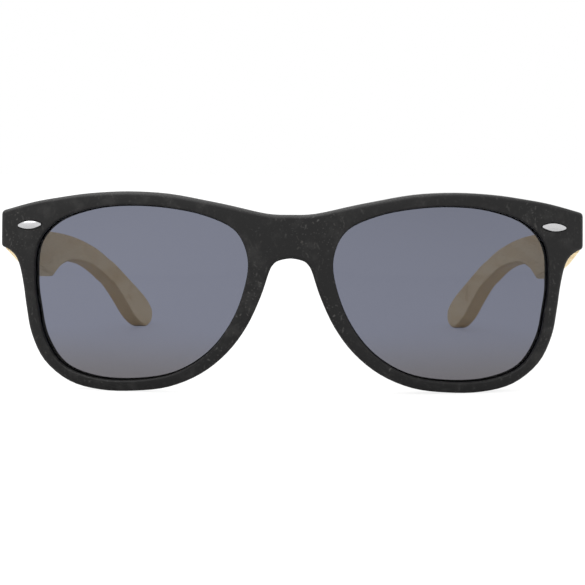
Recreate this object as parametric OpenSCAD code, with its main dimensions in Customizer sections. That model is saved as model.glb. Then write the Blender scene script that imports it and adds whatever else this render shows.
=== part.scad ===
// Sunglasses with a moulded composite front and folding bamboo temples.
// The front faces -Y, +Z is up, and z = 0 is the table that the rims and the temple tips stand on.
// "Left" and "right" are the wearer's: left is +X.

/* [Front] */
// Width over the endpieces
front_w = 145; // [138:0.5:152]
// Height of one lens opening
lens_h = 43.4; // [39:0.1:46]
// Least distance between the two lens openings
bridge_w = 20.6; // [18:0.1:23]
// Radius of the spherical face that the lenses and the front follow
base_r = 130; // [110:1:180]
// Half width of the flat middle of the face, which sets the wrap
flat_half_w = 19.4; // [14:0.1:24]
// Thickness of the rims, front to back
rim_t = 4.6; // [4.2:0.1:5.4]
// Width of the rim under the lens
rim_low_w = 2.65; // [2.2:0.05:3.6]
// Width of the rim over the lens
rim_top_w = 3.1; // [2.4:0.05:4]
// Width of the rim beside the lens, on the temple side
rim_side_w = 3.05; // [2.4:0.05:4]
// Width of the rim beside the nose
rim_nose_w = 4.4; // [3.2:0.1:4.8]
// Rounding of the outer front edge
front_edge_r = 0.9; // [0.3:0.05:1.2]
// Rounding of the lens opening's front edge
opening_edge_r = 0.4; // [0.15:0.05:0.5]
// How far the lens opening flares towards its back
flare_w = 1.1; // [0.7:0.1:1.3]
// Rounding of the back edges
back_edge_r = 0.6; // [0.3:0.05:0.8]

/* [Bridge and nose pads] */
// Height of the bridge's underside above the table
arch_z = 33.3; // [31:0.1:35]
// Height of the bridge
bridge_h = 10.4; // [8:0.1:11.5]
// Width of the arch under the bridge
arch_w = 10.4; // [9:0.1:12]
// How far a nose pad swells behind the rim
pad_d = 3.8; // [2:0.1:5]
// How far a nose pad's back edge splays away from the nose
pad_splay = 1.2; // [0.5:0.1:1.6]

/* [Endpieces] */
// Width from the lens opening to the endpiece's outer side
end_w = 8.75; // [8:0.05:10.5]
// How far the endpiece's top corner lies below the brow
end_drop = 5.15; // [4:0.05:6]
// Height of the endpiece's outer side
end_h = 8.9; // [8:0.1:10]
// Rounding of the endpiece's corners
end_r = 0.9; // [0.5:0.1:1.5]
// Thickness of the endpiece at its outer side
end_t = 4; // [3.4:0.1:6]

/* [Lenses] */
// Thickness of a lens
lens_t = 1.5; // [1.3:0.1:2]
// Depth of the lens face behind the front of the rim
lens_in = 0.9; // [0.8:0.1:2.1]
// Depth of the groove that holds the lens bevel
groove_d = 0.8; // [0.5:0.05:1]
// Clearance round the lens
lens_gap = 0.05; // [0.03:0.01:0.1]

/* [Temples] */
// Length from the endpiece to the tip
temple_len = 120; // [110:1:130]
// Thickness
temple_t = 4.6; // [4.2:0.1:5.4]
// Height where it meets the endpiece
butt_h = 9.2; // [8:0.1:10]
// Height of the widest stretch
blade_h = 12.3; // [10:0.1:14]
// Height of the narrow stretch before the ear
arm_h = 6.2; // [5.5:0.1:8]
// Height behind the ear
ear_h = 11.1; // [9:0.1:12]
// How far the tip leans in from the straight
lean = 17.9; // [12:0.1:22]
// Rounding of the long edges
temple_edge_r = 0.9; // [0.4:0.1:1.4]
// How far its middle sits below the endpiece's middle
temple_sit = 1.05; // [0.6:0.05:1.4]
// Gap between the temple and the endpiece
butt_gap = 0.12; // [0.08:0.01:0.3]

/* [Hinges] */
// Radius of the knuckles
knuckle_r = 1.3; // [1.1:0.05:1.5]
// Height of the three knuckles together
hinge_h = 6; // [5.4:0.1:6.4]
// Gap between the knuckles
knuckle_gap = 0.08; // [0.05:0.01:0.15]
// Room round the knuckles
hinge_clear = 0.18; // [0.12:0.01:0.3]
// Radius of the hinge screw
screw_r = 0.7; // [0.6:0.05:0.8]
// Radius of the hinge screw's head
screw_head_r = 1.1; // [1:0.05:1.3]
// Height of the hinge screw's head
screw_head_h = 0.5; // [0.4:0.05:0.8]
// Radial clearance of the hinge screw in the knuckles
screw_gap = 0.03; // [0.02:0.01:0.08]
// Thickness of the leaves
leaf_t = 0.9; // [0.7:0.1:1.1]
// Length of the leaf along the temple
leaf_len = 9.4; // [8.6:0.1:10.4]
// Height of the leaf along the temple
leaf_h = 4.6; // [4:0.1:5.4]
// Width of the leaf in the endpiece
front_leaf_w = 3.4; // [3:0.1:3.8]
// Radius of the studs that anchor the front leaf
stud_r = 0.7; // [0.5:0.05:0.8]
// Length of those studs
stud_len = 2.4; // [1.6:0.1:2.6]
// Radius of the screws that hold the temple leaf
wood_screw_r = 0.55; // [0.45:0.05:0.7]
// Radius of their countersunk heads
wood_screw_head_r = 1; // [0.9:0.05:1.2]
// Length of those screws
wood_screw_len = 3.4; // [2.8:0.1:3.6]
// Clearance of the seated metal pieces
seat_gap = 0.03; // [0.02:0.01:0.06]

/* [Corner trims] */
// Length of a trim
trim_len = 6.6; // [6:0.1:8]
// Width of a trim
trim_w = 1.9; // [1.6:0.05:2.6]
// Rounding of its two ends
trim_end_r = 0.3; // [0.15:0.05:0.6]
// Depth of the recess that holds it
trim_in = 0.45; // [0.3:0.05:0.7]
// How far its dome stands out
trim_out = 0.45; // [0.3:0.05:0.7]
// Distance of its middle from the endpiece's outer side
trim_side = 7.8; // [6:0.1:8.5]
// Distance of its middle below the endpiece's top corner
trim_drop = 3.3; // [2.8:0.1:4.2]
// Radius of its peg
trim_peg_r = 0.55; // [0.4:0.05:0.7]
// Length of its peg
trim_peg_len = 1.8; // [1.2:0.1:2.4]
// Clearance round the trim
trim_gap = 0.28; // [0.05:0.01:0.35]

/* [Hidden] */
$fn = 48;
// Overshoot of every cutter past the face that it opens
over = 0.5;

// Colours
composite = [0.17, 0.165, 0.165];
bamboo = [0.86, 0.68, 0.42];
smoke = [0.30, 0.30, 0.34, 0.6];
satin = [0.78, 0.78, 0.79];
steel = [0.62, 0.62, 0.64];

// Heights and places worked out from the sizes
half_w = front_w/2;
lens_w = half_w - bridge_w/2 - end_w;
lens_x = (bridge_w + lens_w)/2;
lens_z = rim_low_w + lens_h/2;
front_h = rim_low_w + lens_h + rim_top_w;
bridge_top_z = arch_z + bridge_h;
end_top_z = front_h - end_drop;
end_bottom_z = end_top_z - end_h;
hinge_z = (end_top_z + end_bottom_z)/2 - temple_sit;
butt_y = face_y(half_w, hinge_z) + end_t;
temple_x = half_w - temple_t;
hinge_x = temple_x - knuckle_r - hinge_clear;
hinge_y = butt_y + knuckle_r + hinge_clear;
depth = butt_y + temple_len;

// General functions
function mix(a, b, k) = a + (b - a)*k;
function ease(v) = let (c = min(1, max(0, v))) c*c*(3 - 2*c);
function unit(v) = v/norm(v);
// Normal on the left of a direction in the (x, z) plane
function left_of(d) = unit([-d[1], d[0]]);
// Point at share u of the smooth curve from b to c, with a before and d after them
function curve(a, b, c, d, u) =
    b + 0.5*u*(c - a + u*(2*a - 5*b + 4*c - d + u*(3*(b - c) + d - a)));
// Smooth curve through the points p, each span in n steps, with the points before and after it
function through(p, before, after, n) =
    let (q = concat([before], p, [after]))
    [for (i = [1:len(p) - 1]) for (j = [0:n - 1]) curve(q[i - 1], q[i], q[i + 1], q[i + 2], j/n)];
// Two triangles between the points a, b of one ring and c, d of the next
function quad(a, b, c, d) = [[a, b, c], [b, d, c]];

// The face: a sphere at each side, joined by a middle that is straight across
function face_u(x) = sign(x)*max(abs(x) - flat_half_w, 0);
function face_c(x, z) = sqrt(base_r*base_r - pow(face_u(x), 2) - pow(z - lens_z, 2));
function face_y(x, z) = base_r - face_c(x, z);
// Direction into the front, square to the face
function inward(x, z) = [-face_u(x), face_c(x, z), lens_z - z]/base_r;
// Point at a depth behind the face, square to it
function behind(p, t) = [p[0], face_y(p[0], p[1]), p[1]] + t*inward(p[0], p[1]);
// Point at a depth straight behind the face, along Y
function straight_behind(p, t) = [p[0], face_y(p[0], p[1]) + t, p[1]];

// Lens opening, as shares of its half width and half height, from the temple side over the top
lens_shape = [
    [0.991, 0.131], [0.959, 0.539], [0.767, 0.808], [0.438, 0.955], [0.1, 1], [-0.259, 0.978],
    [-0.606, 0.893], [-0.884, 0.721], [-0.998, 0.405], [-0.958, 0.04], [-0.827, -0.346], [-0.615, -0.674],
    [-0.311, -0.902], [0.059, -0.9898], [0.441, -0.9765], [0.746, -0.834], [0.91, -0.527], [0.968, -0.168]
];
shape_n = len(lens_shape);
function shape_at(i) = lens_shape[((i % shape_n) + shape_n) % shape_n];
// Point of the opening at index t of the shape, which may lie between two of its points
function opening(t) =
    let (i = floor(t), s = curve(shape_at(i - 1), shape_at(i), shape_at(i + 1), shape_at(i + 2), t - i))
    [lens_x + s[0]*lens_w/2, lens_z + s[1]*lens_h/2];
function opening_normal(t) = left_of(opening(t - 0.05) - opening(t + 0.05));
// Point at a distance outside the opening
function outside(t, w) = opening(t) + w*opening_normal(t);

// Outer outline of one half, as [x, z, t], where t is the opening's index that the point belongs to
top_index = 7.75;
arch_index = 8.2 - shape_n;
low_index = -4.7;
nose_index = -9;
rim_x = opening(0)[0] + rim_side_w;
// The rim's growth from its lowest point, quick towards the temple and slow towards the nose
side_power = 0.7;
nose_power = 1.8;
function rim_w_at(t) =
    t > low_index ?
        mix(rim_low_w, rim_side_w, pow(1 - t/low_index, side_power)) :
        mix(rim_low_w, rim_nose_w, pow((t - low_index)/(nose_index - low_index), nose_power));
function rim_point(t, w) = let (p = outside(t, w)) [p[0], p[1], t];
top_points = [
    [0, bridge_top_z, top_index],
    [arch_w*0.57, mix(bridge_top_z, front_h, 0.05), 7.45],
    [mix(arch_w/2, lens_x, 0.29), mix(bridge_top_z, front_h, 0.39), 6.9],
    rim_point(6, rim_top_w*1.08),
    rim_point(5, rim_top_w),
    rim_point(4, rim_top_w),
    rim_point(3, rim_top_w*1.17),
    [half_w - 1.72*end_w, mix(end_top_z, front_h, 0.68), 2.15],
    [half_w - 0.97*end_w, mix(end_top_z, front_h, 0.445), 1.7],
    [half_w - end_r, end_top_z + 0.27*end_r, 1.42]
];
low_points = [
    [half_w - end_r, end_bottom_z - 0.2*end_r, 0.62],
    [mix(rim_x, half_w, 0.6), end_bottom_z - 0.1*end_h, 0.48],
    [mix(rim_x, half_w, 0.34), end_bottom_z - 0.26*end_h, 0.34],
    [mix(rim_x, half_w, 0.15), end_bottom_z - 0.55*end_h, 0.15],
    for (t = [-0.2:-0.8:nose_index]) rim_point(t, rim_w_at(t)),
    [arch_w/2, arch_z - 0.32*arch_w, -9.4],
    [arch_w*0.4, arch_z - 0.14*arch_w, -9.55],
    [arch_w*0.27, arch_z - 0.05*arch_w, -9.65],
    [0, arch_z, arch_index]
];
function flip(p) = [-p[0], p[1], 2*top_index - p[2]];
function flip_arch(p) = [-p[0], p[1], 2*arch_index - p[2]];
// Rounded corner from a to b round the point c
function corner(a, c, b, n) =
    [for (j = [0:n - 1]) let (u = j/n) mix(mix(a, c, u), mix(c, b, u), u)];
side_top = [half_w, end_top_z - end_r, 1.3];
side_bottom = [half_w, end_bottom_z + end_r, 0.74];
top_end = top_points[len(top_points) - 1];
low_end = low_points[len(low_points) - 1];
before_arch = low_points[len(low_points) - 2];
cut_steps = 4;
outline = concat(
    through(top_points, flip(top_points[1]), top_end + [end_r, -0.27*end_r, -0.1], 4),
    corner(top_end, [half_w, end_top_z, 1.36], side_top, 3),
    [for (j = [0:2]) mix(side_top, side_bottom, j/3)],
    corner(side_bottom, [half_w, end_bottom_z, 0.68], low_points[0], 3),
    through(low_points, low_points[0] + [end_r, 0.1*end_r, 0.06], flip_arch(before_arch), 4),
    [low_end]
);
// The middle section, where the two halves join
middle = [for (j = [1:cut_steps - 1]) mix(low_end, [0, bridge_top_z, top_index - shape_n], j/cut_steps)];
stations = concat(outline, middle);
station_n = len(stations);
outline_n = len(outline);
function flat2(p) = [p[0], p[1]];
function outline_normal(i) =
    i == 0 ? [0, 1] :
    i == outline_n - 1 ? [0, -1] :
    left_of(flat2(outline[i + 1]) - flat2(outline[i - 1]));
// True for a station on the joint of the two halves
function on_middle(i) = i == 0 || i >= outline_n - 1;
// True for a station inside that joint, which has no outer wall
function in_middle(i) = i >= outline_n;

// How much of the endpiece's thickness a station has, from 0 to 1
end_from_x = half_w - 1.5*end_w;
end_from_z = end_bottom_z - 0.55*end_h;
function end_share(p) =
    ease((p[0] - end_from_x)/(0.77*end_w))*ease((p[1] - end_from_z)/(0.45*end_h));
// How much of the nose pad a station has, from 0 to 1
pad_index = -8.1;
pad_reach = 1.6;
function pad_share(t) = pow(max(0, 1 - pow((t - pad_index)/pad_reach, 2)), 2);
// Lens groove, behind the face
groove_t = lens_in + lens_t/2;
groove_half_w = lens_t/2 + lens_gap;
// Width of the step from the rim's back up to the endpiece's flat back
end_step = 0.9;

// Section of the front at station i: round the opening's edge, over the face and down the back
function section(i) =
    let (
        p = flat2(stations[i]),
        t = stations[i][2],
        n = in_middle(i) ? [0, 0] : outline_normal(i),
        e = in_middle(i) ? 0 : end_share(p),
        s = pad_share(t),
        f = in_middle(i) ? 0 : front_edge_r,
        b = in_middle(i) ? 0 : back_edge_r,
        o = opening_edge_r,
        wall = mix(rim_t, butt_y - face_y(p[0], p[1]), e),
        ridge = p - (b + pad_splay*s)*n,
        inner = outside(t, o),
        face_mid = mix(inner, p - f*n, 0.5),
        back_in = outside(t, flare_w + back_edge_r/3),
        back_mid = mix(mix(back_in, ridge, 0.5), outside(t, end_step), e),
        back_y = mix(behind(back_mid, rim_t)[1] + 0.6*pad_d*s, butt_y, e)
    ) [
        behind(opening(t), o),
        behind(outside(t, 0.29*o), 0.29*o),
        behind(inner, 0),
        behind(face_mid, 0),
        straight_behind(p - f*n, 0),
        straight_behind(p - 0.5*f*n, 0.134*f),
        straight_behind(p - 0.134*f*n, 0.5*f),
        straight_behind(p, f),
        straight_behind(p - 0.35*pad_splay*s*n, wall - b + 0.3*pad_d*s),
        straight_behind(p - (0.29*b + 0.75*pad_splay*s)*n, wall - 0.29*b + 0.85*pad_d*s),
        [ridge[0], mix(face_y(ridge[0], ridge[1]) + rim_t + pad_d*s, butt_y, e), ridge[1]],
        [back_mid[0], back_y, back_mid[1]],
        behind(back_in, rim_t),
        behind(outside(t, flare_w), rim_t - back_edge_r/3),
        behind(opening(t), groove_t + groove_half_w),
        behind(outside(t, groove_d), groove_t),
        behind(opening(t), groove_t - groove_half_w)
    ];
section_n = 17;
// The section's points that lie on the joint of the two halves, and its outer wall between them
wall_from = 4;
wall_to = 10;
half_points = [for (i = [0:station_n - 1]) each section(i)];
front_points = concat(half_points, [for (p = half_points) [-p[0], p[1], p[2]]]);
// Index of a section point, where the right half uses the left half's points on the joint
function front_index(half, i, k) =
    let (shared = on_middle(i) && k >= wall_from && k <= wall_to)
    (shared ? 0 : half*station_n*section_n) + i*section_n + k;
front_faces = [
    for (half = [0, 1])
    for (i = [0:station_n - 1])
    for (k = [0:section_n - 1])
    let (
        j = (i + 1) % station_n,
        m = (k + 1) % section_n,
        a = front_index(half, i, k),
        b = front_index(half, i, m),
        c = front_index(half, j, k),
        d = front_index(half, j, m)
    )
    if (!(on_middle(i) && on_middle(j) && k >= wall_from && k < wall_to))
    each (half == 0 ? quad(a, b, c, d) : quad(a, c, b, d))
];

// Lens: rings from its middle out to the bevel that sits in the groove
lens_sides = 60;
lens_rings = [0.35, 0.7, 1];
function lens_edge(j, w) = outside(j*shape_n/lens_sides, w);
function lens_point(j, f, t) = behind(mix([lens_x, lens_z], lens_edge(j, -lens_gap), f), t);
lens_points = concat(
    [behind([lens_x, lens_z], lens_in), behind([lens_x, lens_z], lens_in + lens_t)],
    [for (f = lens_rings) for (j = [0:lens_sides - 1]) lens_point(j, f, lens_in)],
    [for (j = [0:lens_sides - 1]) behind(lens_edge(j, groove_d - 2*lens_gap), groove_t)],
    [for (i = [2:-1:0]) for (j = [0:lens_sides - 1]) lens_point(j, lens_rings[i], lens_in + lens_t)]
);
lens_ring_n = 2*len(lens_rings) + 1;
function lens_index(ring, j) = 2 + ring*lens_sides + (j % lens_sides);
lens_faces = concat(
    [for (j = [0:lens_sides - 1]) [0, lens_index(0, j + 1), lens_index(0, j)]],
    [for (r = [0:lens_ring_n - 2]) for (j = [0:lens_sides - 1])
        each quad(lens_index(r, j), lens_index(r, j + 1), lens_index(r + 1, j), lens_index(r + 1, j + 1))],
    [for (j = [0:lens_sides - 1]) [1, lens_index(lens_ring_n - 1, j), lens_index(lens_ring_n - 1, j + 1)]]
);

// Temple stations, as [share of the length, middle height, height, share of the thickness]
blade_rows = [
    [0, hinge_z, butt_h, 1],
    [0.1, 0.906*hinge_z, mix(butt_h, blade_h, 0.26), 1],
    [0.167, 0.851*hinge_z, mix(butt_h, blade_h, 0.55), 1],
    [0.24, 0.8*hinge_z, blade_h, 1]
];
corner_row = blade_rows[len(blade_rows) - 1];
rest_h = 0.86*ear_h;
arm_rows = [
    corner_row,
    [0.267, 0.811*hinge_z, mix(arm_h, blade_h, 0.73), 1],
    [0.3, 0.82*hinge_z, mix(arm_h, blade_h, 0.475), 1],
    [0.35, 0.817*hinge_z, mix(arm_h, blade_h, 0.23), 1],
    [0.4, 0.799*hinge_z, mix(arm_h, blade_h, 0.115), 1],
    [0.45, 0.771*hinge_z, mix(arm_h, blade_h, 0.057), 1],
    [0.5, 0.737*hinge_z, arm_h, 1],
    [0.55, 0.692*hinge_z, mix(arm_h, ear_h, 0.03), 1],
    [0.6, 0.636*hinge_z, mix(arm_h, ear_h, 0.07), 1],
    [0.64, 0.584*hinge_z, mix(arm_h, ear_h, 0.12), 1],
    [0.685, 0.529*hinge_z, mix(arm_h, ear_h, 0.2), 1],
    [0.756, 0.408*hinge_z, mix(arm_h, ear_h, 0.5), 1],
    [0.83, 0.272*hinge_z, mix(arm_h, ear_h, 0.95), 1],
    [0.889, 0.181*hinge_z, ear_h, 1],
    [0.935, rest_h/2, rest_h, 0.98],
    [0.973, 0.095*hinge_z, 0.52*ear_h, 0.9],
    [0.993, 0.0925*hinge_z, 0.25*ear_h, 0.7],
    [1, 0.092*hinge_z, 0.08*ear_h, 0.4]
];
tip_row = arm_rows[len(arm_rows) - 1];
temple_rows = concat(
    through(blade_rows, 2*blade_rows[0] - blade_rows[1], 2*corner_row - blade_rows[len(blade_rows) - 2], 4),
    through(arm_rows, 2*corner_row - arm_rows[1], tip_row, 3),
    [tip_row]
);
// The temple runs straight along the hinge leaf, then leans in
straight_len = hinge_y - butt_y + 1.1*leaf_len;
lean_power = 1.25;
function temple_in(y) = lean*pow(max(0, (y - straight_len)/(temple_len - straight_len)), lean_power);
corner_turns = [0, 30, 60, 90];
function temple_section(row) =
    let (
        y = butt_gap + row[0]*(temple_len - butt_gap),
        x = temple_x + temple_t/2 - temple_in(y),
        half_t = row[3]*temple_t/2,
        half_h = row[2]/2,
        r = min(temple_edge_r, 0.9*half_t, 0.9*half_h)
    )
    [for (q = [0:3]) for (a = corner_turns)
        let (sx = q == 0 || q == 3 ? 1 : -1, sz = q < 2 ? 1 : -1, turn = 90*q + a)
        [x + sx*(half_t - r) + r*cos(turn), butt_y + y, row[1] + sz*(half_h - r) + r*sin(turn)]];
temple_points = [for (row = temple_rows) each temple_section(row)];
ring_n = 4*len(corner_turns);
row_n = len(temple_rows);
last_ring = (row_n - 1)*ring_n;
temple_faces = concat(
    [for (k = [1:ring_n - 2]) [0, k + 1, k]],
    [for (i = [0:row_n - 2]) for (k = [0:ring_n - 1])
        let (m = (k + 1) % ring_n)
        each quad(i*ring_n + k, i*ring_n + m, (i + 1)*ring_n + k, (i + 1)*ring_n + m)],
    [for (k = [1:ring_n - 2]) [last_ring, last_ring + k, last_ring + k + 1]]
);

// The whole object is centred over its footprint, with the right side a mirror of the left
module centred() { translate([0, -depth/2, 0]) children(); }
module right_side() { mirror([1, 0, 0]) children(); }
module both_sides() {
    children();
    right_side() children();
}
// Box between two corners
module box(low, high) { translate(low) cube(high - low); }

// Frame of a corner trim: local Z out of the face, local X along it
trim_x = half_w - trim_side;
trim_z = end_top_z - trim_drop;
trim_roll = -4;
module at_trim() {
    rise = asin((trim_z - lens_z)/base_r);
    turn = atan2(face_u(trim_x), face_c(trim_x, trim_z));
    translate([trim_x, face_y(trim_x, trim_z), trim_z])
        rotate([0, 0, turn])
        rotate([90 - rise, 0, 0])
        rotate([0, 0, trim_roll])
        children();
}
// Outline of a corner trim, larger by the gap g: two arcs that run into rounded ends
module trim_outline(g) {
    tip_r = trim_end_r + g;
    tip = trim_len/2 - trim_end_r;
    side = trim_w/2 - trim_end_r;
    arc_r = (tip*tip + side*side)/(2*side);
    meet_x = tip*(1 + tip_r/arc_r);
    intersection() {
        translate([0, arc_r - side]) circle(arc_r + tip_r, $fn = 96);
        translate([0, side - arc_r]) circle(arc_r + tip_r, $fn = 96);
        square([2*meet_x, trim_len], center = true);
    }
    for (s = [-1, 1]) translate([s*tip, 0]) circle(tip_r);
}

// Heights of the three knuckles
third = (hinge_h - 2*knuckle_gap)/3;
low_knuckle_z = hinge_z - hinge_h/2;
mid_knuckle_z = hinge_z - third/2;
top_knuckle_z = hinge_z + hinge_h/2 - third;
stud_z = [hinge_z - hinge_h*0.29, hinge_z + hinge_h*0.29];
front_leaf_x = hinge_x + knuckle_r - front_leaf_w;
// The temple leaf runs down along the temple's middle line
leaf_tilt = atan2(blade_rows[0][1] - blade_rows[1][1], (blade_rows[1][0] - blade_rows[0][0])*temple_len);
// It starts far enough ahead of the hinge to carry the whole web of its knuckle
leaf_lead = third/2*tan(leaf_tilt);
// Places of its screws along it, behind the web of its knuckle
wood_screw_at = [mix(knuckle_r, leaf_len, 0.3), mix(knuckle_r, leaf_len, 0.78)];

// Room for the front leaf in the endpiece, larger by the gap g
module front_leaf_seat(g) {
    box([front_leaf_x - g, butt_y - leaf_t - g, hinge_z - hinge_h/2 - g],
        [hinge_x + knuckle_r + g, butt_y + (g > 0 ? over : 0), hinge_z + hinge_h/2 + g]);
    for (z = stud_z)
        translate([mix(front_leaf_x, hinge_x, 0.5), butt_y - leaf_t/2, z])
            rotate([90, 0, 0])
            cylinder(r = stud_r + g, h = leaf_t/2 + stud_len + g);
}
// Frame of the temple leaf: local X into the temple, local Y along the leaf
module at_temple_leaf() { translate([temple_x, hinge_y, hinge_z]) rotate([-leaf_tilt, 0, 0]) children(); }
// Room for the temple leaf in the temple, larger by the gap g
module temple_leaf_seat(g) {
    at_temple_leaf()
        box([g > 0 ? -over : 0, -leaf_lead - g, -leaf_h/2 - g], [leaf_t + g, leaf_len + g, leaf_h/2 + g]);
}
// Screws of the temple leaf, their heads flush with it, larger by the gap g
module wood_screws(g) {
    head_h = wood_screw_head_r - wood_screw_r;
    at_temple_leaf() for (y = wood_screw_at)
        translate([0, y, 0]) rotate([0, 90, 0]) {
            cylinder(r = wood_screw_r + g, h = wood_screw_len + g);
            cylinder(r1 = wood_screw_head_r + g, r2 = wood_screw_r + g, h = head_h);
        }
}

module front_frame() {
    color(composite) centred() difference() {
        polyhedron(front_points, front_faces);
        both_sides() {
            front_leaf_seat(seat_gap);
            at_trim() {
                translate([0, 0, -trim_in])
                    linear_extrude(trim_in + 2*over)
                    trim_outline(trim_gap);
                translate([0, 0, -trim_in - trim_peg_len - seat_gap])
                    cylinder(r = trim_peg_r + seat_gap, h = trim_peg_len + over);
            }
        }
    }
}

module lens() { color(smoke) centred() polyhedron(lens_points, lens_faces); }
module lens_left() { lens(); }
module lens_right() { right_side() lens(); }

module temple() {
    color(bamboo) centred() difference() {
        polyhedron(temple_points, temple_faces);
        temple_leaf_seat(seat_gap);
        wood_screws(seat_gap);
    }
}
module temple_left() { temple(); }
module temple_right() { right_side() temple(); }

module corner_trim() {
    dome_r = 0.75*trim_w;
    crown_r = trim_len*trim_len/(6*trim_out);
    color(satin) centred() at_trim() {
        intersection() {
            translate([0, 0, -trim_in])
                linear_extrude(trim_in + trim_out)
                trim_outline(0);
            translate([-trim_len, 0, trim_out - dome_r])
                rotate([0, 90, 0])
                cylinder(r = dome_r, h = 2*trim_len, $fn = 96);
            translate([0, 0, trim_out - crown_r])
                sphere(crown_r, $fn = 128);
        }
        translate([0, 0, -trim_in - trim_peg_len])
            cylinder(r = trim_peg_r, h = trim_peg_len + trim_in/2);
    }
}
module corner_trim_left() { corner_trim(); }
module corner_trim_right() { right_side() corner_trim(); }

// One knuckle with the web that carries it
module knuckle(z, web_low, web_high) {
    translate([hinge_x, hinge_y, z]) cylinder(r = knuckle_r, h = third);
    box([web_low[0], web_low[1], z], [web_high[0], web_high[1], z + third]);
}
module hinge_bore() {
    translate([hinge_x, hinge_y, hinge_z - hinge_h])
        cylinder(r = screw_r + screw_gap, h = 2*hinge_h);
}

module hinge_front_leaf() {
    color(steel) centred() difference() {
        union() {
            front_leaf_seat(0);
            for (z = [low_knuckle_z, top_knuckle_z])
                knuckle(z, [hinge_x - knuckle_r, butt_y - leaf_t/2], [hinge_x + knuckle_r, hinge_y]);
        }
        hinge_bore();
    }
}
module hinge_front_leaf_left() { hinge_front_leaf(); }
module hinge_front_leaf_right() { right_side() hinge_front_leaf(); }

module hinge_temple_leaf() {
    color(steel) centred() difference() {
        union() {
            temple_leaf_seat(0);
            knuckle(mid_knuckle_z, [hinge_x, hinge_y], [temple_x + leaf_t/2, hinge_y + knuckle_r]);
        }
        hinge_bore();
        wood_screws(seat_gap);
    }
}
module hinge_temple_leaf_left() { hinge_temple_leaf(); }
module hinge_temple_leaf_right() { right_side() hinge_temple_leaf(); }

module hinge_screw() {
    top = hinge_z + hinge_h/2;
    slot_w = 0.3*screw_head_r;
    color(satin) centred() translate([hinge_x, hinge_y, 0]) difference() {
        union() {
            translate([0, 0, top - hinge_h]) cylinder(r = screw_r, h = hinge_h + screw_head_h/2);
            translate([0, 0, top]) cylinder(r = screw_head_r, h = screw_head_h);
        }
        box([-screw_head_r - over, -slot_w/2, top + screw_head_h/2],
            [screw_head_r + over, slot_w/2, top + screw_head_h + over]);
    }
}
module hinge_screw_left() { hinge_screw(); }
module hinge_screw_right() { right_side() hinge_screw(); }

module temple_leaf_screws() {
    color(satin) centred() wood_screws(0);
}
module temple_leaf_screws_left() { temple_leaf_screws(); }
module temple_leaf_screws_right() { right_side() temple_leaf_screws(); }

front_frame();
lens_right();
lens_left();
temple_right();
temple_left();
corner_trim_right();
corner_trim_left();
hinge_front_leaf_right();
hinge_front_leaf_left();
hinge_temple_leaf_right();
hinge_temple_leaf_left();
hinge_screw_right();
hinge_screw_left();
temple_leaf_screws_right();
temple_leaf_screws_left();
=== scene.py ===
# Looks of the sunglasses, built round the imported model: camera, light, floor, materials and edges.
import math

import bpy
from mathutils import Matrix, Vector


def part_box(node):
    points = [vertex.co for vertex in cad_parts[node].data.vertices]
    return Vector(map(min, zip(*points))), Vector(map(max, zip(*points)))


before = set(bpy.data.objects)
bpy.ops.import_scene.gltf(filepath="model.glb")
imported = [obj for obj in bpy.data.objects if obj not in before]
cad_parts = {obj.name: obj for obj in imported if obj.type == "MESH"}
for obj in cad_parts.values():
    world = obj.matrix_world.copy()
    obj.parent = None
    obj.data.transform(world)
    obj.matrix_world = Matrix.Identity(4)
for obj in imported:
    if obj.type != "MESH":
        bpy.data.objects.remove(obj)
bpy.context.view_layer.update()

MM = 0.001
SIDES = ("right", "left")
WHITE = (1.0, 1.0, 1.0, 1.0)

# Places worked out from the frame, in metres
FRONT_LOW, FRONT_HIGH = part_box("front_frame")
LENS_LOW_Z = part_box("lens_left")[0].z
TEMPLE_START_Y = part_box("temple_left")[0].y

# Camera of the photograph, a square picture: its place, its turns in degrees and its shift
CAMERA_PLACE = Vector((7.49 * MM, FRONT_LOW.y - 316.5 * MM, 58.52 * MM))
CAMERA_YAW = 0.54
CAMERA_PITCH = 6.0
CAMERA_ROLL = 0.252
CAMERA_SHIFT = -0.0284
# Focal length and width of the sensor in millimetres, nearest and farthest sight in metres
CAMERA_LENS = 81.35
CAMERA_SENSOR = 36.0
CAMERA_NEAR = 0.01
CAMERA_FAR = 50.0

# Light: an even white room and five soft lamps, with places and sizes in metres
ROOM_LIGHT = 1.0
SOFTBOXES = (
    # name, place, size across, size along, power in watts, lights matt surfaces, shows in reflections
    ("softbox_key", (-0.3, -0.6, 0.95), 0.9, 0.5, 4.0, True, True),
    ("softbox_top", (0.0, 0.2, 1.0), 1.2, 0.8, 2.0, True, True),
    ("softbox_right", (-0.95, 0.15, 0.6), 0.7, 0.7, 1.3, True, False),
    ("softbox_left", (0.95, 0.15, 0.6), 0.7, 0.7, 2.5, True, False),
    ("softbox_edge", (-0.3, 0.03, 0.9), 0.5, 1.3, 7.5, False, True),
)

# Floor: a sheet of paper just under the pieces, a little uneven in tone
FLOOR_HALF = 3.0
FLOOR_DROP = 0.05 * MM
PAPER_SCALE = 3.0
PAPER_TONE = (0.84, 0.86)
# The camera sees faint shadows on it, and a glow that falls off from the wearer's right to the left
FLOOR_SEEN = (0.21, 0.21, 0.21, 1.0)
FLOOR_GLOW = (0.94, 0.80)
FLOOR_FADE = 0.15
# Reflections see it darker than paper
FLOOR_MIRRORED = (0.62, 0.62, 0.62, 1.0)

# Ranges that hold most of a noise
NOISE_RANGE = (0.3, 0.7)
NOISE_RANGE_WIDE = (0.3, 0.8)

# Where the pattern of the composite starts, in metres
COMPOSITE_START = (0.52, 0.02, 0.01)
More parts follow.
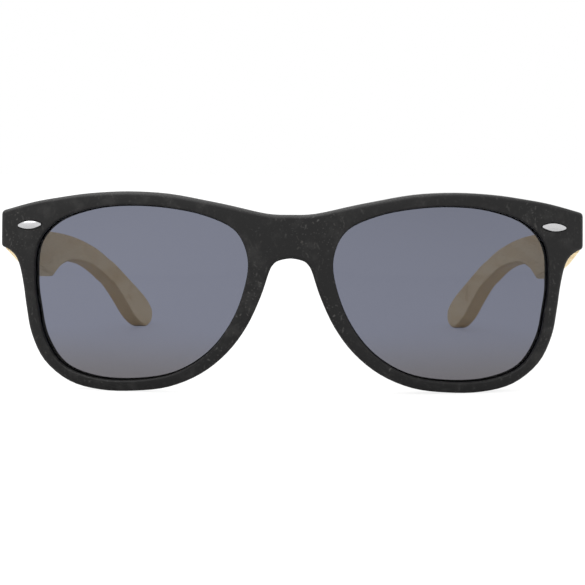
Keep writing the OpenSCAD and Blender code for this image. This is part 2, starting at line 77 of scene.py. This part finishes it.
# Composite of the front: charcoal with lighter clouds and fine grain; scales count features per metre
COMPOSITE_COLOUR = (0.0065, 0.0063, 0.0064, 1)
COMPOSITE_CLOUD = (0.0165, 0.016, 0.0156, 1)
COMPOSITE_ROUGH = (0.44, 0.54)
COMPOSITE_SPECULAR = 0.25
CLOUD_SCALE = 240
CLOUD_RANGE = (0.48, 0.72)
GRAIN_SCALE = 2600
GRAIN_DEPTH = 0.06 * MM
GRAIN_STRENGTH = 0.12
# Plant fibres in the composite: colours, clusters, wobble of the outline, share of the even middle
FLECK_PALE = (0.155, 0.152, 0.145, 1)
FLECK_BROWN = (0.112, 0.105, 0.094, 1)
BROWN_RANGE = (0.5, 0.8)
CLUSTER_SCALE = 75
CLUSTER_RANGE = (0.42, 0.64)
CLUSTER_LEAST = 0.24
WOBBLE_SCALE = 1400
WOBBLE_REACH = 0.7 * MM
FLECK_MIDDLE = 0.45
FLECK_LAYERS = (
    # turn in radians, stretch, cells per metre, share of cells, size in cells, strength
    (0.6, 1.6, 850.0, 0.24, 0.26, 0.29),
    (2.2, 2.4, 1100.0, 0.24, 0.24, 0.27),
    (1.3, 1.3, 2000.0, 0.45, 0.36, 0.17),
    (2.7, 4.5, 900.0, 0.5, 0.25, 0.19),
    (0.2, 4.5, 1000.0, 0.5, 0.25, 0.19),
)

# Smoke lens: tints above and at the bottom, the bottom one darker and greyer as painted shade of the
# table seen through it, height over which they meet, and its skin
LENS_TOP = (0.397, 0.408, 0.461, 1)
LENS_LOW_PAINTED_SHADE = (0.383, 0.376, 0.390, 1)
LENS_FADE = 14 * MM
LENS_SKIN_IOR = 1.25
LENS_ROUGH = (0.03, 0.06)
SMEAR_SCALE = 60

# Bamboo: colours of pale and deep wood, of fibres, of the cane's joints, and of the board's edges, the
# last also used as painted shade on lower faces
BAMBOO_PALE = (0.92, 0.74, 0.435, 1)
BAMBOO_DEEP = (0.80, 0.59, 0.295, 1)
BAMBOO_FIBRE = (0.47, 0.30, 0.13, 1)
BAMBOO_JOINT = (0.56, 0.37, 0.165, 1)
BAMBOO_EDGE_AND_SHADE = (0.60, 0.42, 0.205, 1)
BAMBOO_ROUGH = (0.44, 0.6)
BAMBOO_SPECULAR = 0.35
# Strips of the board with wavy seams, and soft bands along them; stretches count features per metre
STRIPS_PER_METRE = 170.0
SEAM_STRETCH = (30.0, 9.0, 30.0)
SEAM_WAVE = 0.25
STRIP_SHARE = 0.16
BAND_STRETCH = (252.0, 8.4, 252.0)
BAND_SHARE = 0.95
DEEP_RANGE = (0.35, 0.95)
# Fibres along the strips
FIBRE_STRETCH = (2600.0, 55.0, 2600.0)
FIBRE_RANGE = (0.56, 0.74)
FIBRE_SHARE = 0.45
FIBRE_DEPTH = 0.08 * MM
FIBRE_STRENGTH = 0.2
# Joints of the cane: each strip has its own start, and a joint shows only where the bands are deep
JOINTS_PER_METRE = 7.0
JOINT_STARTS = 7.0
JOINT_RANGE = (0.002, 0.014)
JOINT_BANDS = (0.35, 0.6)
JOINT_SHARE = 0.5
JOINT_DENT = 0.3
# Deeper grain on upper faces, and painted shade on lower faces behind the wide blade
UPPER_RANGE = (0.2, 0.6)
UPPER_SHARE = 0.6
SHADED_UNDERSIDE_RANGE = (-0.55, -0.2)
SHADED_UNDERSIDE_SHARE = 0.75
BLADE_END_Y = TEMPLE_START_Y + 29 * MM
ARM_START_Y = BLADE_END_Y + 12 * MM

# Metals, and their scratches
SCRATCH_DEPTH = 0.03 * MM
SCRATCH_STRENGTH = 0.06
METALS = (
    # name, colour, roughness, scratches per metre along x, y and z
    ("satin_trim", (0.60, 0.60, 0.61, 1), (0.26, 0.4), (900.0, 900.0, 4000.0)),
    ("hinge_steel", (0.55, 0.55, 0.57, 1), (0.26, 0.4), (3000.0, 600.0, 3000.0)),
    ("screw_steel", (0.66, 0.66, 0.68, 1), (0.2, 0.32), (2500.0, 2500.0, 900.0)),
)

# Edges: angles in degrees up to which faces shade as one or are joined, and from which edges are rounded
CURVED_ANGLE = 50
TURNED_ANGLE = 35
FLAT_ANGLE = 0.5
SHARP_ANGLE = 60
# Reach of the weld, and the rounding of the edges
WELD_REACH = 0.0005 * MM
BEVEL_SEGMENTS = 2
TEMPLE_EDGE = 0.1 * MM
LEAF_EDGE = 0.06 * MM
HINGE_SCREW_EDGE = 0.04 * MM
WOOD_SCREW_EDGE = 0.03 * MM


class Made:
    """A new node, whose outputs are read by name."""

    def __init__(self, node):
        self.node = node

    def __getitem__(self, name):
        return self.node.outputs[name]


class Shader:
    """A node tree that is filled from the script. An input's name has _ for each space."""

    def __init__(self, tree):
        self.tree = tree
        tree.nodes.clear()

    def feed(self, socket, value):
        if isinstance(value, bpy.types.NodeSocket):
            self.tree.links.new(value, socket)
        else:
            socket.default_value = value

    def feed_in_order(self, sockets, values):
        for socket, value in zip(sockets, values):
            self.feed(socket, value)

    def add(self, kind, settings=None, **inputs):
        node = self.tree.nodes.new(kind)
        for name, value in (settings or {}).items():
            setattr(node, name, value)
        for name, value in inputs.items():
            self.feed(node.inputs[name.replace("_", " ")], value)
        return Made(node)

    def math(self, operation, *values):
        made = self.add("ShaderNodeMath", {"operation": operation})
        self.feed_in_order(made.node.inputs, values)
        return made["Value"]

    def mix(self, share, first, second):
        """Colour between two colours."""
        node = self.add("ShaderNodeMix", {"data_type": "RGBA"}, Factor=share).node
        self.feed_in_order([socket for socket in node.inputs if socket.type == "RGBA"], (first, second))
        return next(socket for socket in node.outputs if socket.type == "RGBA")

    def mix_shaders(self, share, first, second):
        made = self.add("ShaderNodeMixShader", Fac=share)
        self.feed_in_order(made.node.inputs[1:], (first, second))
        return made["Shader"]

    def add_shaders(self, first, second):
        made = self.add("ShaderNodeAddShader")
        self.feed_in_order(made.node.inputs, (first, second))
        return made["Shader"]

    def steps(self, value, low, high, to_low=0.0, to_high=1.0):
        """Value that goes softly from one level to another as the given value goes from low to high."""
        made = self.add("ShaderNodeMapRange", {"interpolation_type": "SMOOTHSTEP"}, Value=value,
                        From_Min=low, From_Max=high, To_Min=to_low, To_Max=to_high)
        return made["Result"]

    def noise(self, vector, scale, detail=2.0, roughness=0.5):
        made = self.add("ShaderNodeTexNoise", Vector=vector, Scale=scale,
                        Detail=detail, Roughness=roughness)
        return made["Fac"]

    def streaks(self, vector, stretch, detail=2.0, roughness=0.5):
        """Noise with its own count of features per metre along each axis."""
        drawn = self.add("ShaderNodeMapping", Vector=vector, Scale=stretch)
        return self.noise(drawn["Vector"], 1.0, detail, roughness)

    def wobbled(self, vector, scale, reach):
        """Place that is moved about a little."""
        push = self.add("ShaderNodeTexNoise", Vector=vector, Scale=scale, Detail=2.0)
        made = self.add("ShaderNodeVectorMath", {"operation": "MULTIPLY_ADD"})
        self.feed_in_order(made.node.inputs, (push["Color"], (reach, reach, reach), vector))
        return made["Vector"]

    def place(self):
        return self.add("ShaderNodeTexCoord")["Object"]

    def facing(self):
        return self.add("ShaderNodeTexCoord")["Normal"]

    def parts(self, vector):
        return self.add("ShaderNodeSeparateXYZ", Vector=vector)

    def finish(self, surface):
        self.add("ShaderNodeOutputMaterial", Surface=surface)

    def finish_relief(self, colour, rough, height, depth, strength, **more):
        """Ends a material with one surface, whose fine relief follows a height."""
        bump = self.add("ShaderNodeBump", Strength=strength, Distance=depth, Height=height)
        surface = self.add("ShaderNodeBsdfPrincipled", Base_Color=colour, Roughness=rough,
                           Normal=bump["Normal"], **more)
        self.finish(surface["BSDF"])


def new_material(name):
    material = bpy.data.materials.new(name)
    material.use_nodes = True
    return material, Shader(material.node_tree)


def new_object(name, data):
    thing = bpy.data.objects.new(name, data)
    bpy.context.scene.collection.objects.link(thing)
    return thing


def add_camera():
    data = bpy.data.cameras.new("camera")
    data.lens = CAMERA_LENS
    data.sensor_width = CAMERA_SENSOR
    data.shift_x = CAMERA_SHIFT
    data.clip_start = CAMERA_NEAR
    data.clip_end = CAMERA_FAR
    camera = new_object("camera", data)
    turn = Matrix.Rotation(math.radians(CAMERA_YAW), 4, "Z")
    tilt = Matrix.Rotation(math.radians(90 - CAMERA_PITCH), 4, "X")
    roll = Matrix.Rotation(math.radians(CAMERA_ROLL), 4, "Z")
    camera.matrix_world = Matrix.Translation(CAMERA_PLACE) @ turn @ tilt @ roll
    bpy.context.scene.camera = camera


def add_room():
    world = bpy.data.worlds.new("studio")
    world.use_nodes = True
    tree = Shader(world.node_tree)
    room = tree.add("ShaderNodeBackground", Color=WHITE, Strength=ROOM_LIGHT)
    tree.add("ShaderNodeOutputWorld", Surface=room["Background"])
    bpy.context.scene.world = world


def add_lamps():
    """Soft lamps that point at the middle of the front's height."""
    target = Vector((0, 0, FRONT_HIGH.z / 2))
    for name, place, across, along, power, on_matt, mirrored in SOFTBOXES:
        data = bpy.data.lights.new(name, "AREA")
        data.shape = "RECTANGLE"
        data.size = across
        data.size_y = along
        data.energy = power
        lamp = new_object(name, data)
        lamp.location = place
        lamp.visible_diffuse = on_matt
        lamp.visible_glossy = mirrored
        lamp.rotation_euler = (target - Vector(place)).to_track_quat("-Z", "Y").to_euler()


def floor_paper():
    """White paper for the light that it throws back, almost without shadows where the camera sees it."""
    material, tree = new_material("floor")
    tone = tree.steps(tree.noise(tree.place(), PAPER_SCALE), *NOISE_RANGE, *PAPER_TONE)
    shade = tree.add("ShaderNodeCombineColor", Red=tone, Green=tone, Blue=tone)
    paper = tree.add("ShaderNodeBsdfDiffuse", Color=shade["Color"])
    mirrored = tree.add("ShaderNodeBsdfDiffuse", Color=FLOOR_MIRRORED)
    faint = tree.add("ShaderNodeBsdfDiffuse", Color=FLOOR_SEEN)
    across = tree.parts(tree.place())["X"]
    strength = tree.steps(across, -FLOOR_FADE, FLOOR_FADE, *FLOOR_GLOW)
    glow = tree.add("ShaderNodeEmission", Color=WHITE, Strength=strength)
    seen = tree.add_shaders(faint["BSDF"], glow["Emission"])
    rays = tree.add("ShaderNodeLightPath")
    unseen = tree.mix_shaders(rays["Is Glossy Ray"], paper["BSDF"], mirrored["BSDF"])
    tree.finish(tree.mix_shaders(rays["Is Camera Ray"], unseen, seen))
    return material


def add_floor():
    mesh = bpy.data.meshes.new("floor")
    corners = [(-FLOOR_HALF, -FLOOR_HALF), (FLOOR_HALF, -FLOOR_HALF),
               (FLOOR_HALF, FLOOR_HALF), (-FLOOR_HALF, FLOOR_HALF)]
    mesh.from_pydata([(x, y, -FLOOR_DROP) for x, y in corners], [], [(0, 1, 2, 3)])
    mesh.materials.append(floor_paper())
    floor = new_object("floor", mesh)


def flecks(tree, place, turn, stretch, scale, chance, size):
    """Share of a fibre at each place, and a random number for each fibre."""
    turned = tree.add("ShaderNodeMapping", {"vector_type": "TEXTURE"}, Vector=place,
                      Rotation=(0, turn, 0), Scale=(1.0, 1.0, stretch))
    cells = tree.add("ShaderNodeTexVoronoi", {"feature": "F1"}, Vector=turned["Vector"], Scale=scale)
    numbers = tree.add("ShaderNodeSeparateColor", Color=cells["Color"])
    chosen = tree.math("LESS_THAN", numbers["Red"], chance)
    spot = tree.steps(cells["Distance"], FLECK_MIDDLE * size, size, 1.0, 0.0)
    return tree.math("MULTIPLY", spot, chosen), numbers["Green"]


def composite():
    """Matte charcoal moulding, with pale plant fibres in loose clusters."""
    material, tree = new_material("composite")
    place = tree.add("ShaderNodeMapping", Vector=tree.place(), Location=COMPOSITE_START)["Vector"]
    cloud = tree.noise(place, CLOUD_SCALE, detail=4, roughness=0.62)
    colour = tree.mix(tree.steps(cloud, *CLOUD_RANGE), COMPOSITE_COLOUR, COMPOSITE_CLOUD)
    cluster = tree.steps(tree.noise(place, CLUSTER_SCALE), *CLUSTER_RANGE, CLUSTER_LEAST, 1.0)
    fibre_place = tree.wobbled(place, WOBBLE_SCALE, WOBBLE_REACH)
    for turn, stretch, scale, chance, size, share in FLECK_LAYERS:
        spot, number = flecks(tree, fibre_place, turn, stretch, scale, chance, size)
        tint = tree.mix(tree.steps(number, *BROWN_RANGE), FLECK_PALE, FLECK_BROWN)
        strength = tree.math("MULTIPLY", tree.math("MULTIPLY", spot, cluster), share)
        colour = tree.mix(strength, colour, tint)
    grain = tree.noise(place, GRAIN_SCALE, roughness=0.6)
    rough = tree.steps(cloud, *NOISE_RANGE_WIDE, *COMPOSITE_ROUGH)
    tree.finish_relief(colour, rough, grain, GRAIN_DEPTH, GRAIN_STRENGTH,
                       Specular_IOR_Level=COMPOSITE_SPECULAR)
    return material


def smoke_lens():
    """Smoke-tinted lens: light passes straight through it, its tint darkens towards the bottom as
    painted shade, and its skin mirrors a little.
    """
    material, tree = new_material("smoke_lens")
    height = tree.parts(tree.place())["Z"]
    share = tree.steps(height, LENS_LOW_Z, LENS_LOW_Z + LENS_FADE)
    # The tint goes darker and greyer towards the bottom: painted shade of the table seen through the
    # lens
    clear = tree.add("ShaderNodeBsdfTransparent", Color=tree.mix(share, LENS_LOW_PAINTED_SHADE, LENS_TOP))
    smear = tree.noise(tree.place(), SMEAR_SCALE)
    rough = tree.steps(smear, *NOISE_RANGE, *LENS_ROUGH)
    gloss = tree.add("ShaderNodeBsdfGlossy", Color=WHITE, Roughness=rough)
    fresnel = tree.add("ShaderNodeFresnel", IOR=LENS_SKIN_IOR)
    tree.finish(tree.mix_shaders(fresnel["Fac"], clear["BSDF"], gloss["BSDF"]))
    return material


def cane_joints(tree, length, strip_number, bands):
    """Share of a cane's joint at each place along the strips."""
    start = tree.math("MULTIPLY", strip_number, JOINT_STARTS)
    step = tree.math("MULTIPLY_ADD", length, JOINTS_PER_METRE, start)
    away = tree.math("ABSOLUTE", tree.math("SUBTRACT", tree.math("FRACT", step), 0.5))
    line = tree.steps(away, *JOINT_RANGE, JOINT_SHARE, 0.0)
    return tree.math("MULTIPLY", line, tree.steps(bands, *JOINT_BANDS))


def edge_grain_and_shade(tree, length):
    """Share of the deeper grain on the board's upper faces, and of painted shade on its lower faces
    behind the blade.
    """
    up = tree.parts(tree.facing())["Z"]
    upper = tree.steps(up, *UPPER_RANGE, 0.0, UPPER_SHARE)
    # Painted shade on the faces that look down, behind the wide blade
    painted_shade = tree.steps(up, *SHADED_UNDERSIDE_RANGE, SHADED_UNDERSIDE_SHARE, 0.0)
    arm = tree.steps(length, BLADE_END_Y, ARM_START_Y)
    return tree.math("ADD", upper, tree.math("MULTIPLY", painted_shade, arm))


def bamboo():
    """Board of bamboo strips, with fine fibres along them and a joint of the cane here and there."""
    material, tree = new_material("bamboo")
    place = tree.place()
    along = tree.parts(place)
    wave = tree.math("MULTIPLY", tree.streaks(place, SEAM_STRETCH), SEAM_WAVE)
    strip = tree.math("FLOOR", tree.math("MULTIPLY_ADD", along["Z"], STRIPS_PER_METRE, wave))
    number = tree.add("ShaderNodeTexWhiteNoise", {"noise_dimensions": "1D"}, W=strip)["Value"]
    bands = tree.streaks(place, BAND_STRETCH, detail=3, roughness=0.55)
    fibres = tree.streaks(place, FIBRE_STRETCH)
    deep = tree.math("MULTIPLY_ADD", number, STRIP_SHARE, tree.math("MULTIPLY", bands, BAND_SHARE))
    joint = cane_joints(tree, along["Y"], number, bands)
    colour = tree.mix(tree.steps(deep, *DEEP_RANGE), BAMBOO_PALE, BAMBOO_DEEP)
    colour = tree.mix(tree.steps(fibres, *FIBRE_RANGE, 0.0, FIBRE_SHARE), colour, BAMBOO_FIBRE)
    colour = tree.mix(joint, colour, BAMBOO_JOINT)
    # Deeper grain on upper faces, and painted shade on lower faces of the arm
    colour = tree.mix(edge_grain_and_shade(tree, along["Y"]), colour, BAMBOO_EDGE_AND_SHADE)
    height = tree.math("SUBTRACT", fibres, tree.math("MULTIPLY", joint, JOINT_DENT))
    rough = tree.steps(fibres, *NOISE_RANGE_WIDE, *BAMBOO_ROUGH)
    tree.finish_relief(colour, rough, height, FIBRE_DEPTH, FIBRE_STRENGTH,
                       Specular_IOR_Level=BAMBOO_SPECULAR)
    return material


def metal(name, colour, roughness, scratches):
    """Satin metal whose gloss varies along fine scratches."""
    material, tree = new_material(name)
    lines = tree.streaks(tree.place(), scratches, detail=3, roughness=0.6)
    rough = tree.steps(lines, *NOISE_RANGE, *roughness)
    tree.finish_relief(colour, rough, lines, SCRATCH_DEPTH, SCRATCH_STRENGTH, Metallic=1.0)
    return material


def smoothing_group(name, angle):
    """Modifier tree that shades smooth across edges flatter than an angle."""
    group = bpy.data.node_groups.new(name, "GeometryNodeTree")
    group.interface.new_socket("Geometry", in_out="INPUT", socket_type="NodeSocketGeometry")
    group.interface.new_socket("Geometry", in_out="OUTPUT", socket_type="NodeSocketGeometry")
    nodes = group.nodes
    links = group.links
    start = nodes.new("NodeGroupInput")
    plain = nodes.new("GeometryNodeRemoveAttribute")
    plain.inputs["Name"].default_value = "custom_normal"
    faces = nodes.new("GeometryNodeSetShadeSmooth")
    edges = nodes.new("GeometryNodeSetShadeSmooth")
    edges.domain = "EDGE"
    bend = nodes.new("GeometryNodeInputMeshEdgeAngle")
    flat = nodes.new("FunctionNodeCompare")
    flat.operation = "LESS_THAN"
    flat.inputs["B"].default_value = math.radians(angle)
    end = nodes.new("NodeGroupOutput")
    links.new(start.outputs[0], plain.inputs["Geometry"])
    links.new(plain.outputs["Geometry"], faces.inputs["Geometry"])
    links.new(faces.outputs["Geometry"], edges.inputs["Geometry"])
    links.new(bend.outputs["Unsigned Angle"], flat.inputs["A"])
    links.new(flat.outputs["Result"], edges.inputs["Shade Smooth"])
    links.new(edges.outputs["Geometry"], end.inputs[0])
    return group


def round_edges(piece, width):
    """Joins flat facets into faces, and rounds the sharp edges between them."""
    flatten = piece.modifiers.new("flatten", "DECIMATE")
    flatten.decimate_type = "DISSOLVE"
    flatten.angle_limit = math.radians(FLAT_ANGLE)
    bevel = piece.modifiers.new("edges", "BEVEL")
    bevel.width = width
    bevel.segments = BEVEL_SEGMENTS
    bevel.limit_method = "ANGLE"
    bevel.angle_limit = math.radians(SHARP_ANGLE)


def soften(piece, group, edge=0.0):
    """Welds a piece's facets, rounds its edges where a width is given, and shades it smooth."""
    weld = piece.modifiers.new("weld", "WELD")
    weld.merge_threshold = WELD_REACH
    if edge > 0:
        round_edges(piece, edge)
    shade = piece.modifiers.new("shade", "NODES")
    shade.node_group = group
    normals = piece.modifiers.new("normals", "WEIGHTED_NORMAL")
    normals.keep_sharp = True


def dress(node, material):
    """Gives a node its material."""
    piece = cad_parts[node]
    piece.data.materials.clear()
    piece.data.materials.append(material)
    return piece


def dress_pieces():
    curved = smoothing_group("smooth_curves", CURVED_ANGLE)
    turned = smoothing_group("smooth_turned", TURNED_ANGLE)
    soften(dress("front_frame", composite()), curved)
    lens = smoke_lens()
    wood = bamboo()
    trim, steel, screw = [metal(*values) for values in METALS]
    pieces = (
        # node without its side, material, slot, shading, rounding of the edges
        ("lens", lens, "lens", curved, 0.0),
        ("temple", wood, "bamboo", curved, TEMPLE_EDGE),
        ("corner_trim", trim, "trim", turned, 0.0),
        ("hinge_front_leaf", steel, "hinge", turned, LEAF_EDGE),
        ("hinge_temple_leaf", steel, "hinge", turned, LEAF_EDGE),
        ("hinge_screw", screw, "screw", turned, HINGE_SCREW_EDGE),
        ("temple_leaf_screws", screw, "screw", turned, WOOD_SCREW_EDGE),
    )
    for side in SIDES:
        for node, material, slot, group, edge in pieces:
            soften(dress(f"{node}_{side}", material), group, edge)


def main():
    bpy.context.scene.view_settings.view_transform = "Standard"
    add_camera()
    add_room()
    add_lamps()
    add_floor()
    dress_pieces()


main()
